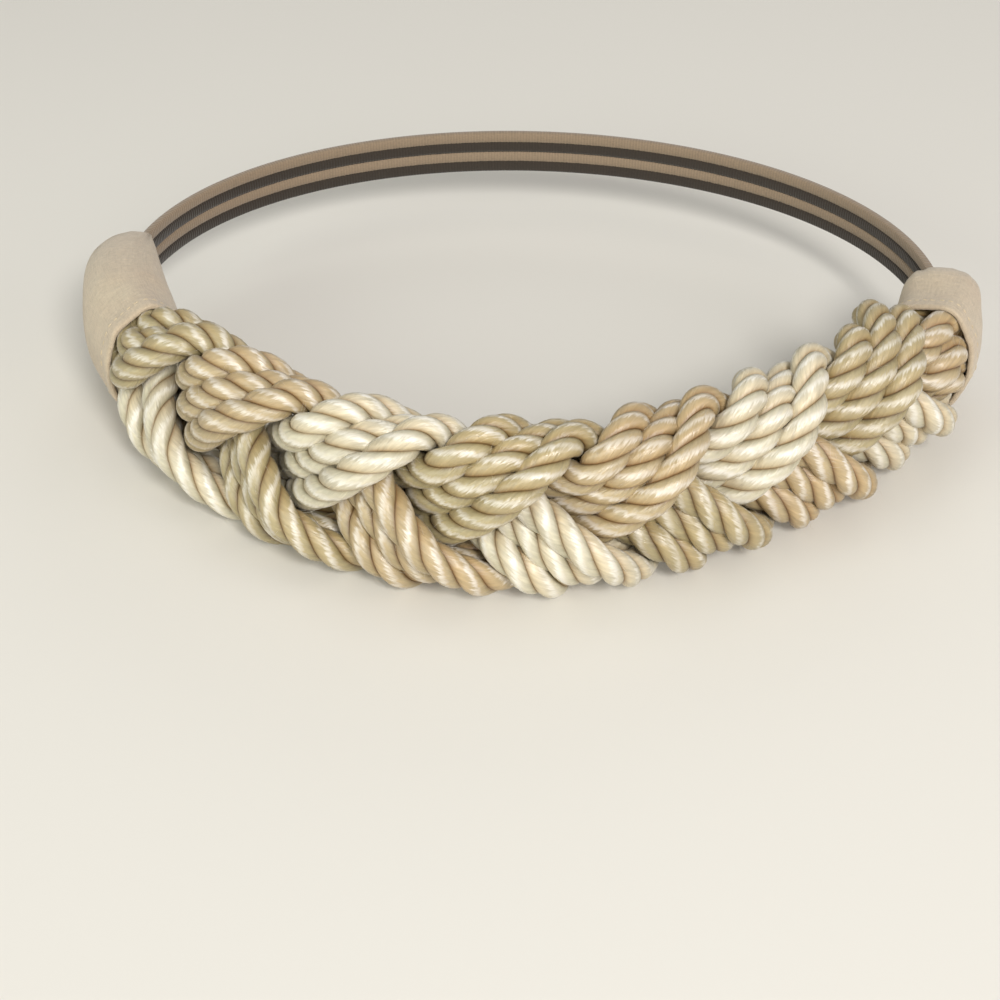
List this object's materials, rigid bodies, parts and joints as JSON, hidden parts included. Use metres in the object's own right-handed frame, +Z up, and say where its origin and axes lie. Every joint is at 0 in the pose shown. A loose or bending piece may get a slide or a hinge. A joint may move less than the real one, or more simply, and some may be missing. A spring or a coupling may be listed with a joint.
{
  "type": "rope belt",
  "caption": "Soft waist belt worn over clothing: a thick plait of satin twisted cords, a cloth sleeve over each end, and a ribbed elastic strap that closes the loop at the back.",
  "frame": {"origin": "middle of the waist that the belt goes round, at the belt's mid-height", "axes": "+X towards the wearer's left side, which is the right side seen from the front, -Y out of the middle of the front, +Z up"},
  "size_m": [0.2925, 0.2457, 0.055],
  "materials": {
    "cord_ivory": "satin",
    "cord_olive": "satin",
    "cord_champagne": "satin",
    "sleeve_cloth": "matte",
    "elastic": "matte"
  },
  "bodies": {
    "root": {"strand_ivory": "cord_ivory", "strand_olive": "cord_olive", "strand_champagne": "cord_champagne", "sleeve_left": "sleeve_cloth", "sleeve_right": "sleeve_cloth", "back_strap": "elastic"}
  },
  "joints": []
}
